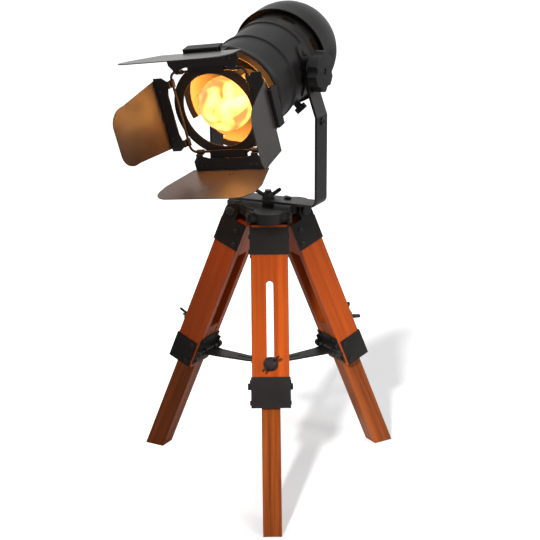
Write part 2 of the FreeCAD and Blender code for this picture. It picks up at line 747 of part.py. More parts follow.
# Small knurled screw under the can.
NA = -8.0 + 11.0
knurl = rod(0, 0, CAN_R + 5.5, (0, 0, 1), 7.5, 6.5)
for i in range(12):
    a = math.radians(30.0 * i)
    knurl = knurl.cut(rod(8.1 * math.cos(a), 8.1 * math.sin(a), CAN_R, (0, 0, 1), 1.2, 20))
thumb = fuse([knurl, rod(0, 0, AL - 3.0, (0, 0, 1), 2.5, 10.0), rod(0, 0, CAN_R + 0.3, (0, 0, 1), 4.2, 6.0)])
thumb = placed(thumb, move(0, -NA, 0))
thumb = placed(thumb, spin((0, 1, 0), 140))
thumb_hole = placed(placed(rod(0, 0, 40, (0, 0, 1), 2.5 + RUN, 20), move(0, -NA, 0)), spin((0, 1, 0), 140))
can = can.cut(thumb_hole)

# ================================================================ lamp inside
# The socket stands on a plate inside the rear housing.
SOCKET_BACK = CAN_BACK + 2.0
socket_plate = turned(
    [
        (SOCKET_BACK - 2.0, 5.0),
        (SOCKET_BACK - 2.0, AL - 0.05),
        (SOCKET_BACK, AL - 0.05),
        (SOCKET_BACK, 5.0),
    ]
)
for i in range(6):
    socket_plate = socket_plate.cut(placed(rod(0, -SOCKET_BACK - 6, 36, (0, 1, 0), 7.0, 20), spin((0, 1, 0), 60 * i)))
sleeve = turned([(SOCKET_BACK, 14.0), (SOCKET_BACK, 20.0), (BULB_A - 57, 20.0), (BULB_A - 57, 14.0)])
base_disc = turned([(SOCKET_BACK, 5.0), (SOCKET_BACK, 20.0), (SOCKET_BACK + 4, 20.0), (SOCKET_BACK + 4, 5.0)])
lampholder = fuse([socket_plate, sleeve, base_disc])

NECK = ((-58.0, 10.5), (-50.0, 12.8), (-40.0, 17.0), (-30.0, 21.8), (-22.0, 25.8), (-15.0, 28.9))
glass_out = [(BULB_A + a, r) for a, r in NECK]
for i in range(13):
    a = math.radians(-15 + 105.0 * i / 12)
    glass_out.append((BULB_A + BULB_R * math.sin(a), BULB_R * math.cos(a)))
glass_out[-1] = (glass_out[-1][0], 0.0)
T = 1.0
inside = []
for a, r in glass_out:
    if a > BULB_A - 20:
        inside.append((BULB_A + (a - BULB_A) * (BULB_R - T) / BULB_R, r * (BULB_R - T) / BULB_R))
    else:
        inside.append((a, r - T))
bulb = turned(glass_out + inside[::-1])

cap_a = BULB_A - 58
bulb_cap = turned(
    [
        (cap_a, 0.0),
        (cap_a, 13.2),
        (cap_a - 3, 13.2),
        (cap_a - 20, 12.6),
        (cap_a - 23, 8.0),
        (SOCKET_BACK + 4.02, 4.6),
        (SOCKET_BACK + 4.02, 0.0),
    ]
)
stem_pts = [(cap_a, 0.0), (cap_a, 5.0), (cap_a + 20, 2.6), (BULB_A - 6, 2.0), (BULB_A - 6, 0.0)]
mount = turned(stem_pts)
leads = [mount]
FR = 12.0
for i in range(6):
    a = math.radians(60 * i)
    p = V(1.2 * math.cos(a), -(BULB_A - 8), 1.2 * math.sin(a))
    q = V(FR * math.cos(a), -(BULB_A - 18), FR * math.sin(a))
    r = V(FR * math.cos(a + 0.5), -(BULB_A + 14), FR * math.sin(a + 0.5))
    for s, e in ((p, q), (q, r)):
        leads.append(Part.makeCylinder(0.6, (e - s).Length, s, e - s))
    leads.append(Part.makeSphere(0.6, q))
filament = fuse(leads)

# ================================================================ wire frame
L = FRAME_HALF
REACH = L - WIRE_CORNER
DIAG = REACH + WIRE_CORNER * math.sin(math.pi / 4)
straight = []
for i in range(4):
    seg = rod(-REACH, 0, L, (1, 0, 0), WIRE_R, 2 * REACH)
    arc = Part.Arc(V(REACH, 0, L), V(DIAG, 0, DIAG), V(L, 0, REACH)).toShape()
    profile = Part.Wire([Part.makeCircle(WIRE_R, V(REACH, 0, L), V(1, 0, 0))])
    elbow = Part.Wire([arc]).makePipeShell([profile], True, True)
    straight.append(placed(fuse([seg, elbow]), spin((0, 1, 0), 90 * i)))
wire_frame = fuse(straight)

ring = rod(0, WIRE_R + 0.9, 0, (0, -1, 0), RING_OUT, 1.0)
ring = ring.cut(rod(0, 10, 0, (0, -1, 0), RING_IN, 20))

# Sheet clips that hold the frame in front of the hood: top, right, bottom.
BACK = FRAME_A - HOOD_A
F = CLIP_HALF
RL = WIRE_R + 1.2
LIP = WIRE_R + 0.4
TAB = 12.0
TAB_R = 60.8
clip_prof = fuse(
    [
        box(-F, F, -LIP - SHEET, 10.0, CLIP_R, CLIP_R + SHEET),
        box(-F, F, -LIP - SHEET, -LIP, L - 2.5, CLIP_R + 0.5),
        box(-F, F, RL, RL + SHEET, L - 2.5, CLIP_R + 0.5),
        box(-6, 6, -LIP - 0.1, RL + 0.1, RING_OUT + 0.4, RING_OUT + 1.4),
        box(-TAB, TAB, RL, BACK, TAB_R, TAB_R + SHEET),
        box(-TAB, TAB, BACK - SHEET, BACK, TAB_R - 6.3, TAB_R + SHEET),
    ]
)
long_edges = [
    e
    for e in clip_prof.Edges
    if abs(e.BoundBox.XLength - 2 * F) < 0.01
    and abs(e.BoundBox.ZMax - CLIP_R - SHEET) < 0.01
    and e.BoundBox.YMax < 0
]
clip_prof = clip_prof.makeFillet(1.0, long_edges)
RIVET_Z = TAB_R - 3.0
CLIP_TURNS = (0, 90, 180)
rivets = []
clips = []
for a in CLIP_TURNS:
    one = clip_prof
    for x in (-7, 7):
        one = one.cut(rod(x, BACK - 5, RIVET_Z, (0, 1, 0), 1.6, 10))
        body = rod(x, BACK - SHEET - 1.0, RIVET_Z, (0, 1, 0), 1.6, SHEET + 1.0 + WALL)
        cap = rod(x, BACK - SHEET, RIVET_Z, (0, -1, 0), 2.8, 1.1)
        rivets.append(placed(fuse([body, cap]), spin((0, 1, 0), a)))
    clips.append(placed(one, spin((0, 1, 0), a)))
gel_clips = Part.makeCompound([fuse([one] + rivets[2 * i : 2 * i + 2]) for i, one in enumerate(clips)])
hood_holes = []
for a in CLIP_TURNS:
    for x in (-7, 7):
        hood_holes.append(placed(rod(x, BACK - 5, RIVET_Z, (0, 1, 0), 1.6, 12), spin((0, 1, 0), a)))

# ================================================================ flaps
# Flap coordinates: x along the hinge wire, y back, z outward from the wire.
def leaf_shape():
    near, far = KNUCKLE
    half = [(0.0, 6.4), (near - 8.0, 6.4), (near, 4.2), (far, 4.2), (LEAF_HALF, 10.0), (LEAF_HALF, LEAF_W)]
    outline = half + [(-x, z) for x, z in half[:0:-1]]
    bits = [sheet(outline, "y", -LEAF_F - LEAF_T, LEAF_T)]
    for side in (-1, 1):
        x0 = near if side > 0 else -far
        x1 = x0 + far - near
        bits.append(rod(x0, 0, 0, (1, 0, 0), WIRE_R + RUN + 1.2, far - near))
        bits.append(box(x0, x1, -LEAF_F - LEAF_T, 0, WIRE_R + RUN, WIRE_R + RUN + 1.2))
        bits.append(box(x0, x1, -LEAF_F - LEAF_T, -LEAF_F, WIRE_R + RUN, 12))
    out = fuse(bits)
    out = out.cut(rod(-60, 0, 0, (1, 0, 0), WIRE_R + RUN, 120))
    return out


RIVET_X = (-37.0, -29.0, 29.0, 37.0)
BT = 1.0
BEND = LEAF_W + 0.3 + BT
FLANGE = 9.0


def blade_shape(angle, base, wide, taper, round_r, shift):
    """A riveted flange and a blade that leans forward from the outward line."""
    wide_at = BLADE_L - taper
    flange = box(shift - base + 6, shift + base - 6, -LEAF_F, -LEAF_F + BT, LEAF_W - FLANGE, BEND)
    outline = [(-base, 0.0), (base, 0.0), (wide, wide_at), (wide, BLADE_L), (-wide, BLADE_L), (-wide, wide_at)]
    face = sheet(outline, "y", -BT, BT)
    tips = [
        e
        for e in face.Edges
        if abs(e.BoundBox.YLength - BT) < 0.01 and abs(e.BoundBox.ZMax - BLADE_L) < 0.01
    ]
    face = face.makeFillet(round_r, tips)
    face = placed(face, move(shift, -LEAF_F + BT, BEND), spin((1, 0, 0), angle))
    return fuse([flange, face])


def flap(kind):
    angle, base, wide, taper, round_r, shift = kind
    leaf = leaf_shape()
    blade = blade_shape(angle, base, wide, taper, round_r, shift)
    xs = [x for x in RIVET_X if abs(x - shift) < base - 8]
    shanks = []
    for x in xs:
        hole = rod(x, 0, LEAF_W - 4.5, (0, -1, 0), 1.3, 20)
        blade = blade.cut(hole)
        shanks.append(rod(x, -LEAF_F + BT + 0.7, LEAF_W - 4.5, (0, -1, 0), 1.3, BT + 0.8))
        front = rod(x, -LEAF_F - LEAF_T + 0.1, LEAF_W - 4.5, (0, -1, 0), 2.3, 1.2)
        rim = [e for e in front.Edges if abs(e.CenterOfMass.y + LEAF_F + LEAF_T + 1.1) < 0.05]
        shanks.append(front.makeFillet(0.8, rim))
    leaf = fuse([leaf] + shanks)
    return leaf, blade


KINDS = {
    "top": ((76.0, 52.0, 66.0, WIDE_TAPER, 20.0, 0.0), 0.0),
    "bottom": ((91.0, 50.0, 63.0, WIDE_TAPER, 20.0, 0.0), 180.0),
    "left": ((79.0, 42.0, 35.0, NARROW_TAPER, 19.0, 0.0), -90.0),
    "right": ((77.0, 42.0, 35.0, NARROW_TAPER, 19.0, 8.0), 90.0),
}

# ================================================================ output
for k, name in enumerate(LEGS):
    save("upper_leg_" + name, on_leg(upper, k))
    save("upper_cap_" + name, on_leg(upper_cap, k))
    save("lower_cap_" + name, on_leg(lower_cap, k))
    save("leg_screws_" + name, on_leg(leg_screws, k))
    save("keeper_" + name, on_leg(keeper, k))
    save("keeper_pin_" + name, on_leg(pin, k))
    save("lower_leg_" + name, round_hub(lower_front, k))
    save("wing_bolt_" + name, on_leg(placed(wing_bolt, move(0, 0, WING_S)), k))
    save("spreader_arm_" + name, round_hub(arm, k))
save("centre_link", centre_link)
save("hub", hub)
save("hub_stud", stud)
save("hinge_bolts", hinge_bolts)
save("yoke", on_yoke(yoke))
save("yoke_screws", on_yoke(yoke_screws))
save("pan_wing_nut", on_yoke(placed(nut, spin((0, 0, 1), 35))))
hood_cut = cut(hood, [placed(h, spin((0, 1, 0), -ROLL), move(0, -FRAME_A, 0)) for h in hood_holes])
save("can_body", on_head(can))
save("front_hood", on_head(hood_cut))
save("rear_housing", on_head(rear))
save("back_cover", on_head(back_cover))
save("cover_standoffs", on_head(standoffs))
save("pivot_plates", on_head(pivot_plates))
save("plate_screws", on_head(Part.makeCompound(plate_screws)))
save("pivot_studs", on_head(pivot_studs))
save("tilt_knob_right", on_head(placed(knob, spin((1, 0, 0), 12))))
save("tilt_knob_left", on_head(placed(knob, spin((0, 0, 1), 180), spin((1, 0, 0), 12))))
save("thumb_screw", on_head(thumb))
save("lampholder", on_head(lampholder))
save("bulb_glass", on_head(bulb))
save("bulb_cap", on_head(bulb_cap))
save("filament", on_head(filament))
save("wire_frame", on_frame(wire_frame))
save("ring_plate", on_frame(ring))
save("gel_clips", on_frame(gel_clips))
for name, (kind, turn) in KINDS.items():
    leaf, blade = flap(kind)
    for label, shape in (("flap_leaf_", leaf), ("flap_blade_", blade)):
        shape = placed(shape, spin((0, 1, 0), turn), move(0, 0, FRAME_HALF))
        save(label + name, on_frame(shape))
print(len(total), "nodes")
print("hinge", round(HINGE_RHO, 3), round(HINGE_Z, 3), "pin", round(PIN_RHO, 3), round(PIN_Z, 3))
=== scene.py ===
import bpy
import math
from mathutils import Matrix, Vector


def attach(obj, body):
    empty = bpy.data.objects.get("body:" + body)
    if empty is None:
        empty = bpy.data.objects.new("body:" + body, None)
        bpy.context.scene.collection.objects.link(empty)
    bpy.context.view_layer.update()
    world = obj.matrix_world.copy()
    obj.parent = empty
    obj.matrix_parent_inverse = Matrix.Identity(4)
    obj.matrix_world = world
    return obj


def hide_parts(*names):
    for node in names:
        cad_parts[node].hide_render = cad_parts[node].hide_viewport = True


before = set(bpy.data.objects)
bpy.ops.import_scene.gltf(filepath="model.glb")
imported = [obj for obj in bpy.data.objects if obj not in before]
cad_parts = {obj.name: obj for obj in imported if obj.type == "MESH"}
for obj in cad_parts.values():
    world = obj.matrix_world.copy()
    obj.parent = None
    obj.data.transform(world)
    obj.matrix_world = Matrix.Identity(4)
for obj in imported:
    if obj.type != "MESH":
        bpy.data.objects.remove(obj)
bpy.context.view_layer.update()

bl_info = {
    "name": "Tabletop searchlight lamp",
    "version": (1, 0, 0),
    "blender": (4, 5, 0),
    "location": "View3D > Sidebar > Searchlight",
    "description": "Dresses the lamp's frame with wood, coated metal, a lit bulb and its stage",
    "category": "Object",
}

LEGS = ("front", "right", "left")
FLAPS = ("top", "bottom", "left", "right")
LEG_LEAN = math.radians(23.1)
HEAD_PAN = math.radians(-27.0)
HEAD_TILT = math.radians(14.0)
PIVOT_HEIGHT = 0.5265
BULB_FORWARD = 0.110
HOT_SPOT_FORWARD = BULB_FORWARD + 0.019
SOCKET_BACK = 0.028
LINING_OUTER, LINING_INNER = 0.05345, 0.05325
# Aim and turn of the side spot; they also place the oval of the floor's painted glow, which is low under
# the spot and high outside it
SPOT_AIM = (0.293, 0.142, 0)
SPOT_TURN = math.radians(-21.7)
MM = 0.001

# Seats of the small fastenings, in millimetres.
WING_BOLT_HEIGHT = 207
WING_NUT_SEAT = 366.05
WING_NUT_TURN = math.radians(35 - 90)
YOKE_TOP = 366
YOKE_SIDE, YOKE_SCREW_HEIGHT = 72.5, 467
SADDLE_RADIUS, SADDLE_LEAN = 56.02, 23.0
KNOB_RADIUS, KNOB_FLUTE, KNOB_LOBES = 24.4, 8.2, 6
KNOB_BASE, KNOB_FACE = 63.2, 75.6

# Share of the reach, sideways shift, growth in width and in thickness of each stage of a wing.
WING_STAGES = (
    (0.28, 0.2, 1.06, 0.9),
    (0.34, 0.5, 1.04, 0.92),
    (0.26, 0.3, 0.9, 0.92),
    (0.12, -0.2, 0.66, 0.8),
)


def leg_place(leg):
    """Leg coordinates to the frame: x across the leg, y behind its outer face, z up along it."""
    turn = Matrix.Rotation(math.radians(120 * LEGS.index(leg)), 4, "Z")
    return turn @ Matrix.Translation((0, -0.198, 0)) @ Matrix.Rotation(-LEG_LEAN, 4, "X")


def head_place():
    """Head coordinates to the frame: x right, y back along the beam, z up."""
    pan = Matrix.Rotation(HEAD_PAN, 4, "Z")
    return pan @ Matrix.Translation((0, 0, PIVOT_HEIGHT)) @ Matrix.Rotation(HEAD_TILT, 4, "X")


# ---------------------------------------------------------------- settings


class WoodSettings(bpy.types.PropertyGroup):
    """Varnished wood of the legs."""

    light: bpy.props.FloatVectorProperty(
        name="Early wood", description="Colour of the light bands", subtype="COLOR",
        size=4, min=0, max=1, default=(0.38, 0.066, 0.008, 1))
    dark: bpy.props.FloatVectorProperty(
        name="Late wood", description="Colour of the dark streaks", subtype="COLOR",
        size=4, min=0, max=1, default=(0.26, 0.038, 0.004, 1))
    lower_light: bpy.props.FloatVectorProperty(
        name="Early wood, lower legs", description="Colour of the light bands of the lower legs",
        subtype="COLOR", size=4, min=0, max=1, default=(0.30, 0.067, 0.009, 1))
    lower_dark: bpy.props.FloatVectorProperty(
        name="Late wood, lower legs", description="Colour of the dark streaks of the lower legs",
        subtype="COLOR", size=4, min=0, max=1, default=(0.12, 0.023, 0.003, 1))
    grain: bpy.props.FloatProperty(
        name="Grain width", description="Typical width of a streak", subtype="DISTANCE",
        unit="LENGTH", min=0.0005, max=0.02, default=0.0025)


class CoatSettings(bpy.types.PropertyGroup):
    """Matt black coat of the metal parts."""

    sheet: bpy.props.FloatVectorProperty(
        name="Sheet", description="Colour of the coated sheet metal", subtype="COLOR",
        size=4, min=0, max=1, default=(0.014, 0.0125, 0.012, 1))
    blade: bpy.props.FloatVectorProperty(
        name="Blades", description="Colour of the barn-door blades", subtype="COLOR",
        size=4, min=0, max=1, default=(0.034, 0.028, 0.024, 1))
    inside: bpy.props.FloatVectorProperty(
        name="Inside", description="Colour of the bare metal inside the drum", subtype="COLOR",
        size=4, min=0, max=1, default=(0.32, 0.28, 0.17, 1))
    pebble: bpy.props.FloatProperty(
        name="Pebble size", description="Size of the fine pebbling in the coat",
        subtype="DISTANCE", unit="LENGTH", min=0.0001, max=0.01, default=0.0009)


class BulbSettings(bpy.types.PropertyGroup):
    """The lit bulb."""

    glow: bpy.props.FloatVectorProperty(
        name="Glow", description="Colour of the bulb's light", subtype="COLOR",
        size=3, min=0, max=1, default=(1.0, 0.38, 0.08))
    power: bpy.props.FloatProperty(
        name="Light", description="Power of the light inside the bulb",
        subtype="POWER", unit="POWER", min=0, max=50, default=1.0)
    brightness: bpy.props.FloatProperty(
        name="Brightness", description="How bright the glass looks at its brightest",
        min=0, max=30, default=8.0)


class StageSettings(bpy.types.PropertyGroup):
    """Camera and studio."""

    eye: bpy.props.FloatVectorProperty(
        name="Camera", description="Place of the camera", subtype="TRANSLATION",
        unit="LENGTH", size=3, default=(-0.02189, -1.56785, 0.748))
    aim: bpy.props.FloatVectorProperty(
        name="Camera turn", description="Turn of the camera about X, Y and Z",
        subtype="EULER", unit="ROTATION", size=3,
        default=(math.radians(73.1197), math.radians(0.3445), math.radians(-0.9645)))
    lens: bpy.props.FloatProperty(
        name="Lens", description="Focal length on a 36 mm sensor, in millimetres",
        min=10, max=300, default=86.667)


# ---------------------------------------------------------------- shader helpers


def group_socket(group, name, kind, way="INPUT", value=None):
    socket = group.interface.new_socket(name=name, in_out=way, socket_type=kind)
    if value is not None:
        socket.default_value = value
    return socket


def node(tree, kind, **values):
    made = tree.nodes.new(kind)
    for key, value in values.items():
        setattr(made, key, value)
    return made


def grain_group():
    """Straight wood grain along Z: broad bands and fine streaks."""
    found = bpy.data.node_groups.get("Straight grain")
    if found:
        return found
    group = bpy.data.node_groups.new("Straight grain", "ShaderNodeTree")
    group_socket(group, "Vector", "NodeSocketVector")
    group_socket(group, "Light", "NodeSocketColor", value=(0.5, 0.12, 0.02, 1))
    group_socket(group, "Dark", "NodeSocketColor", value=(0.25, 0.04, 0.01, 1))
    group_socket(group, "Across", "NodeSocketFloat", value=300.0)
    group_socket(group, "Along", "NodeSocketFloat", value=9.0)
    group_socket(group, "Color", "NodeSocketColor", "OUTPUT")
    group_socket(group, "Roughness", "NodeSocketFloat", "OUTPUT")
    group_socket(group, "Height", "NodeSocketFloat", "OUTPUT")
    link = group.links.new
    source = node(group, "NodeGroupInput")
    result = node(group, "NodeGroupOutput")
    scale = node(group, "ShaderNodeCombineXYZ")
    link(source.outputs["Across"], scale.inputs[0])
    link(source.outputs["Across"], scale.inputs[1])
    link(source.outputs["Along"], scale.inputs[2])
    stretched = node(group, "ShaderNodeVectorMath", operation="MULTIPLY")
    link(source.outputs["Vector"], stretched.inputs[0])
    link(scale.outputs[0], stretched.inputs[1])
    bands = node(group, "ShaderNodeTexNoise")
    bands.inputs["Scale"].default_value = 0.35
    bands.inputs["Detail"].default_value = 2.0
    bands.inputs["Distortion"].default_value = 0.4
    link(stretched.outputs[0], bands.inputs["Vector"])
    streaks = node(group, "ShaderNodeTexNoise")
    streaks.inputs["Scale"].default_value = 1.6
    streaks.inputs["Detail"].default_value = 4.0
    streaks.inputs["Roughness"].default_value = 0.6
    link(stretched.outputs[0], streaks.inputs["Vector"])
    both = node(group, "ShaderNodeMix", data_type="FLOAT")
    both.inputs[0].default_value = 0.45
    link(bands.outputs[0], both.inputs[2])
    link(streaks.outputs[0], both.inputs[3])
    mask = node(group, "ShaderNodeMapRange")
    mask.inputs["From Min"].default_value = 0.36
    mask.inputs["From Max"].default_value = 0.64
    link(both.outputs[0], mask.inputs["Value"])
    colour = node(group, "ShaderNodeMix", data_type="RGBA")
    link(mask.outputs[0], colour.inputs[0])
    link(source.outputs["Dark"], colour.inputs[6])
    link(source.outputs["Light"], colour.inputs[7])
    link(colour.outputs[2], result.inputs["Color"])
    rough = node(group, "ShaderNodeMapRange")
    rough.inputs["To Min"].default_value = 0.48
    rough.inputs["To Max"].default_value = 0.36
    link(mask.outputs[0], rough.inputs["Value"])
    link(rough.outputs[0], result.inputs["Roughness"])
    link(streaks.outputs[0], result.inputs["Height"])
    return group


def coat_group():
    """Fine powder coat: faint clouding, pebbled height and varying gloss."""
    found = bpy.data.node_groups.get("Powder coat")
    if found:
        return found
    group = bpy.data.node_groups.new("Powder coat", "ShaderNodeTree")
    group_socket(group, "Vector", "NodeSocketVector")
    group_socket(group, "Color", "NodeSocketColor", value=(0.02, 0.02, 0.02, 1))
    group_socket(group, "Pebble", "NodeSocketFloat", value=900.0)
    group_socket(group, "Gloss", "NodeSocketFloat", value=0.5)
    group_socket(group, "Color", "NodeSocketColor", "OUTPUT")
    group_socket(group, "Roughness", "NodeSocketFloat", "OUTPUT")
    group_socket(group, "Height", "NodeSocketFloat", "OUTPUT")
    link = group.links.new
    source = node(group, "NodeGroupInput")
    result = node(group, "NodeGroupOutput")
    clouds = node(group, "ShaderNodeTexNoise")
    clouds.inputs["Scale"].default_value = 28.0
    clouds.inputs["Detail"].default_value = 3.0
    link(source.outputs["Vector"], clouds.inputs["Vector"])
    pebbles = node(group, "ShaderNodeTexNoise")
    pebbles.inputs["Detail"].default_value = 1.0
    link(source.outputs["Vector"], pebbles.inputs["Vector"])
    link(source.outputs["Pebble"], pebbles.inputs["Scale"])
    shade = node(group, "ShaderNodeMapRange")
    shade.inputs["From Min"].default_value = 0.3
    shade.inputs["From Max"].default_value = 0.7
    shade.inputs["To Min"].default_value = 0.82
    shade.inputs["To Max"].default_value = 1.2
    link(clouds.outputs[0], shade.inputs["Value"])
    colour = node(group, "ShaderNodeVectorMath", operation="SCALE")
    link(source.outputs["Color"], colour.inputs[0])
    link(shade.outputs[0], colour.inputs["Scale"])
    link(colour.outputs[0], result.inputs["Color"])
    gloss = node(group, "ShaderNodeMath", operation="MULTIPLY")
    link(source.outputs["Gloss"], gloss.inputs[0])
    spread = node(group, "ShaderNodeMapRange")
    spread.inputs["From Min"].default_value = 0.3
    spread.inputs["From Max"].default_value = 0.7
    spread.inputs["To Min"].default_value = 0.9
    spread.inputs["To Max"].default_value = 1.12
    link(clouds.outputs[0], spread.inputs["Value"])
    link(spread.outputs[0], gloss.inputs[1])
    link(gloss.outputs[0], result.inputs["Roughness"])
    link(pebbles.outputs[0], result.inputs["Height"])
    return group


def fresh_material(name):
    """A new material with only its Principled shader, and its tree."""
    made = bpy.data.materials.new(name)
    made.use_nodes = True
    return made, made.node_tree, made.node_tree.nodes["Principled BSDF"]


def bump(tree, height, shader, distance, strength):
    ridge = node(tree, "ShaderNodeBump")
    ridge.inputs["Distance"].default_value = distance
    ridge.inputs["Strength"].default_value = strength
    tree.links.new(height, ridge.inputs["Height"])
    tree.links.new(ridge.outputs[0], shader.inputs["Normal"])


def wood_material(leg, part):
    """Reddish varnished wood with its grain along one leg."""
    settings = bpy.context.scene.lamp_wood
    made, tree, shader = fresh_material("varnished_wood_" + part + "_" + leg)
    place = node(tree, "ShaderNodeMapping", vector_type="TEXTURE")
    turn = math.radians(120 * LEGS.index(leg))
    place.inputs["Rotation"].default_value = (-LEG_LEAN, 0, turn)
    offset = 0.37 * LEGS.index(leg) + (0.11 if part == "lower" else 0.0)
    place.inputs["Location"].default_value = (offset, 0.2 * offset, 0)
    at = node(tree, "ShaderNodeTexCoord")
    grain = node(tree, "ShaderNodeGroup", node_tree=grain_group())
    lower = part == "lower"
    grain.inputs["Light"].default_value = settings.lower_light if lower else settings.light
    grain.inputs["Dark"].default_value = settings.lower_dark if lower else settings.dark
    grain.inputs["Across"].default_value = 1 / settings.grain
    grain.inputs["Along"].default_value = 9.0
    tree.links.new(at.outputs["Object"], place.inputs["Vector"])
    tree.links.new(place.outputs[0], grain.inputs["Vector"])
    tree.links.new(grain.outputs["Color"], shader.inputs["Base Color"])
    tree.links.new(grain.outputs["Roughness"], shader.inputs["Roughness"])
    shader.inputs["Specular IOR Level"].default_value = 0.12
    shader.inputs["Coat Weight"].default_value = 0.06
    shader.inputs["Coat Roughness"].default_value = 0.25
    bump(tree, grain.outputs["Height"], shader, 0.0002, 0.25)
    return made


def coat_material(name, colour, gloss, pebble=None, depth=0.00006, shine=0.25):
    """Coated metal or moulded plastic with a fine pebbled skin."""
    settings = bpy.context.scene.lamp_coat
    made, tree, shader = fresh_material(name)
    at = node(tree, "ShaderNodeTexCoord")
    skin = node(tree, "ShaderNodeGroup", node_tree=coat_group())
    skin.inputs["Color"].default_value = colour
    skin.inputs["Pebble"].default_value = 1 / (pebble or settings.pebble)
    skin.inputs["Gloss"].default_value = gloss
    tree.links.new(at.outputs["Object"], skin.inputs["Vector"])
    tree.links.new(skin.outputs["Color"], shader.inputs["Base Color"])
    tree.links.new(skin.outputs["Roughness"], shader.inputs["Roughness"])
    shader.inputs["Specular IOR Level"].default_value = shine
    bump(tree, skin.outputs["Height"], shader, depth, 0.4)
    return made


def lined_material(name, gloss, pebble):
    """A coated drum whose inner face is bare metal, told apart by its radius."""
    settings = bpy.context.scene.lamp_coat
    made = coat_material(name, tuple(settings.sheet), gloss, pebble, shine=0.16)
    tree = made.node_tree
    shader = tree.nodes["Principled BSDF"]
    skin = shader.inputs["Base Color"].links[0].from_socket
    at = node(tree, "ShaderNodeTexCoord")
    place = node(tree, "ShaderNodeMapping", vector_type="TEXTURE")
    place.inputs["Location"].default_value = (0, 0, PIVOT_HEIGHT)
    place.inputs["Rotation"].default_value = (HEAD_TILT, 0, HEAD_PAN)
    across = node(tree, "ShaderNodeVectorMath", operation="MULTIPLY")
    across.inputs[1].default_value = (1, 0, 1)
    radius = node(tree, "ShaderNodeVectorMath", operation="LENGTH")
    mask = node(tree, "ShaderNodeMapRange")
    mask.inputs["From Min"].default_value = LINING_OUTER
    mask.inputs["From Max"].default_value = LINING_INNER
    colour = node(tree, "ShaderNodeMix", data_type="RGBA")
    colour.inputs[7].default_value = settings.inside
    link = tree.links.new
    link(at.outputs["Object"], place.inputs["Vector"])
    link(place.outputs[0], across.inputs[0])
    link(across.outputs[0], radius.inputs[0])
    link(radius.outputs["Value"], mask.inputs["Value"])
    link(mask.outputs[0], colour.inputs[0])
    link(skin, colour.inputs[6])
    link(colour.outputs[2], shader.inputs["Base Color"])
    return made


def glow_material():
    """Amber glass lit from inside: brightest over the filament, amber at the rim."""
    settings = bpy.context.scene.lamp_bulb
    made, tree, shader = fresh_material("lit_bulb_glass")
    place = node(tree, "ShaderNodeMapping")
    centre = head_place() @ Vector((0, -BULB_FORWARD, 0))
    place.inputs["Location"].default_value = -centre
    at = node(tree, "ShaderNodeTexCoord")
    cloud = node(tree, "ShaderNodeTexNoise")
    cloud.inputs["Scale"].default_value = 32.0
    cloud.inputs["Detail"].default_value = 1.5
    cloud.inputs["Distortion"].default_value = 0.6
    facing = node(tree, "ShaderNodeLayerWeight")
    facing.inputs["Blend"].default_value = 0.35
    centre_mask = node(tree, "ShaderNodeMapRange")
    centre_mask.inputs["From Min"].default_value = 0.85
    centre_mask.inputs["From Max"].default_value = 0.05
    blobs = node(tree, "ShaderNodeMapRange")
    blobs.inputs["From Min"].default_value = 0.40
    blobs.inputs["From Max"].default_value = 0.62
    both = node(tree, "ShaderNodeMath", operation="MULTIPLY")
    level = node(tree, "ShaderNodeMapRange")
    level.inputs["To Min"].default_value = 0.13
    level.inputs["To Max"].default_value = 1.0
    colour = node(tree, "ShaderNodeVectorMath", operation="SCALE")
    colour.inputs[0].default_value = settings.glow
    link = tree.links.new
    link(at.outputs["Object"], place.inputs["Vector"])
    link(place.outputs[0], cloud.inputs["Vector"])
    link(facing.outputs["Facing"], centre_mask.inputs["Value"])
    link(cloud.outputs[0], blobs.inputs["Value"])
    link(centre_mask.outputs[0], both.inputs[0])
    link(blobs.outputs[0], both.inputs[1])
    link(both.outputs[0], level.inputs["Value"])
    link(level.outputs[0], colour.inputs["Scale"])
    link(colour.outputs[0], shader.inputs["Emission Color"])
    shader.inputs["Emission Strength"].default_value = settings.brightness
    shader.inputs["Base Color"].default_value = (0.25, 0.12, 0.03, 1)
    shader.inputs["Roughness"].default_value = 0.12
    return made


# ---------------------------------------------------------------- mesh helpers


def darker(colour):
    """The same colour a fifth darker, for small steel parts."""
    return tuple(0.8 * part for part in colour[:3]) + (1,)


def dress(name, material):
    """Gives a carried-over node its finish."""
    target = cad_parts[name]
    target.data.materials.clear()
    target.data.materials.append(material)
    return target


def only(*pieces):
    """Selects these pieces alone, the first one active."""
    bpy.ops.object.select_all(action="DESELECT")
    for piece in pieces:
        piece.select_set(True)
    bpy.context.view_layer.objects.active = pieces[0]


def applied(piece, kind, **values):
    """Adds a modifier and applies it at once."""
    only(piece)
    made = piece.modifiers.new(kind, kind)
    for key, value in values.items():
        setattr(made, key, value)
    bpy.ops.object.modifier_apply(modifier=made.name)
    return piece


def drum(radius, low, high, sides=48, top=None):
    """A round bar, or with a top radius a cone, along Z."""
    bpy.ops.object.select_all(action="DESELECT")
    bpy.ops.mesh.primitive_cone_add(vertices=sides, radius1=radius, radius2=top or radius,
                                    depth=high - low, location=(0, 0, (low + high) / 2))
    piece = bpy.context.object
    bpy.ops.object.transform_apply(location=True)
    return piece


def block(size, centre):
    bpy.ops.object.select_all(action="DESELECT")
    bpy.ops.mesh.primitive_cube_add(size=1, location=centre, scale=size)
    piece = bpy.context.object
    bpy.ops.object.transform_apply(location=True, scale=True)
    return piece


def carve(piece, cutter):
    """Takes the cutter out of a piece and throws the cutter away."""
    applied(piece, "BOOLEAN", object=cutter, operation="DIFFERENCE", solver="EXACT")
    bpy.data.objects.remove(cutter)
    return piece


def joined(pieces, name):
    only(*pieces)
    if len(pieces) > 1:
        bpy.ops.object.join()
    pieces[0].name = name
    return pieces[0]


def turned_copy(source, place):
    """A copy with its own mesh, put in place in the mesh itself."""
    made = source.copy()
    made.data = source.data.copy()
    made.data.transform(place)
    bpy.context.scene.collection.objects.link(made)
    return made


